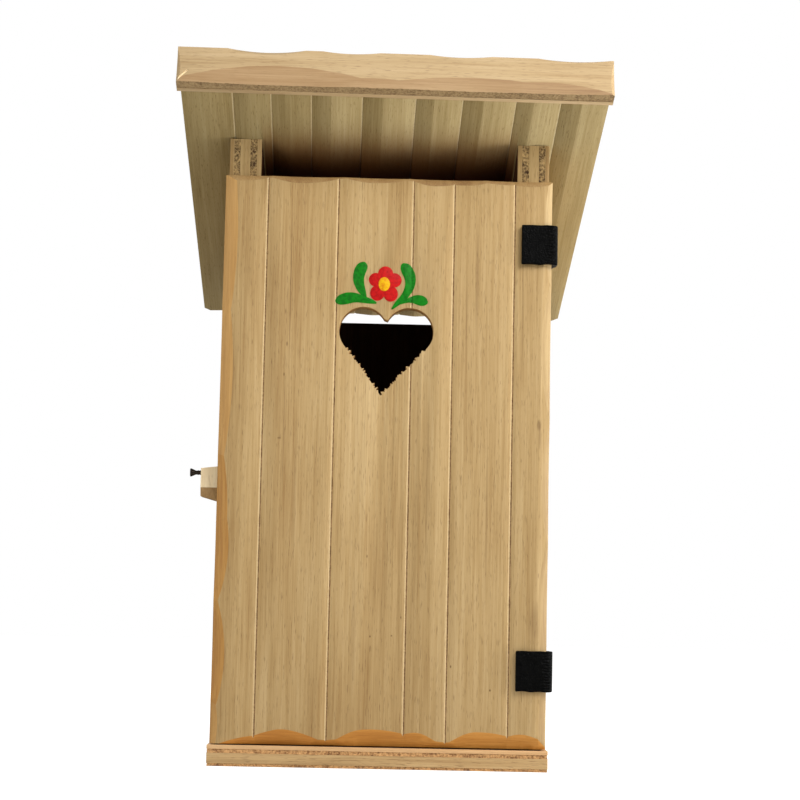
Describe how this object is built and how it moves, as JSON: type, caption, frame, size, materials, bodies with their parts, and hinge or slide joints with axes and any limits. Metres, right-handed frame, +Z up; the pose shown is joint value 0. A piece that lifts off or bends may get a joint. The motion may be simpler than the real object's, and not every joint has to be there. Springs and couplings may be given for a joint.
{
  "type": "miniature wooden outhouse",
  "caption": "Tabletop wooden outhouse with a lean-to roof, a grooved door on leather strap hinges with a heart-shaped hole and a painted flower, a turn button and a base plate.",
  "frame": {"origin": "middle of the base plate's underside", "axes": "+Z up, the door faces -Y, +X is to the right of someone who looks at the door"},
  "size_m": [0.1969, 0.2126, 0.3187],
  "materials": {
    "grooved_pine": "satin",
    "plywood": "matte",
    "whittled_pine": "satin",
    "black_leather": "satin",
    "black_screw": "satin"
  },
  "bodies": {
    "cabin": {"base_plate": "plywood", "left_wall": "plywood", "right_wall": "plywood", "back_panel": "grooved_pine", "roof_panel": "grooved_pine", "roof_fascia": "whittled_pine", "upper_strap_wall": "black_leather", "lower_strap_wall": "black_leather", "button_screw": "black_screw"},
    "door": {"door_panel": "grooved_pine", "upper_strap_door": "black_leather", "lower_strap_door": "black_leather"},
    "button": {"turn_button": "whittled_pine"}
  },
  "joints": [
    {"name": "door_hinge", "type": "hinge", "parent": "cabin", "child": "door", "pos_m": [0.0756, -0.06725, 0.139], "axis": [0, 0, 1], "range_deg": [0, 110]},
    {"name": "button_turn", "type": "hinge", "parent": "cabin", "child": "button", "pos_m": [-0.0794, -0.059, 0.1315], "axis": [-1, 0, 0], "range_deg": [0, 90]}
  ]
}
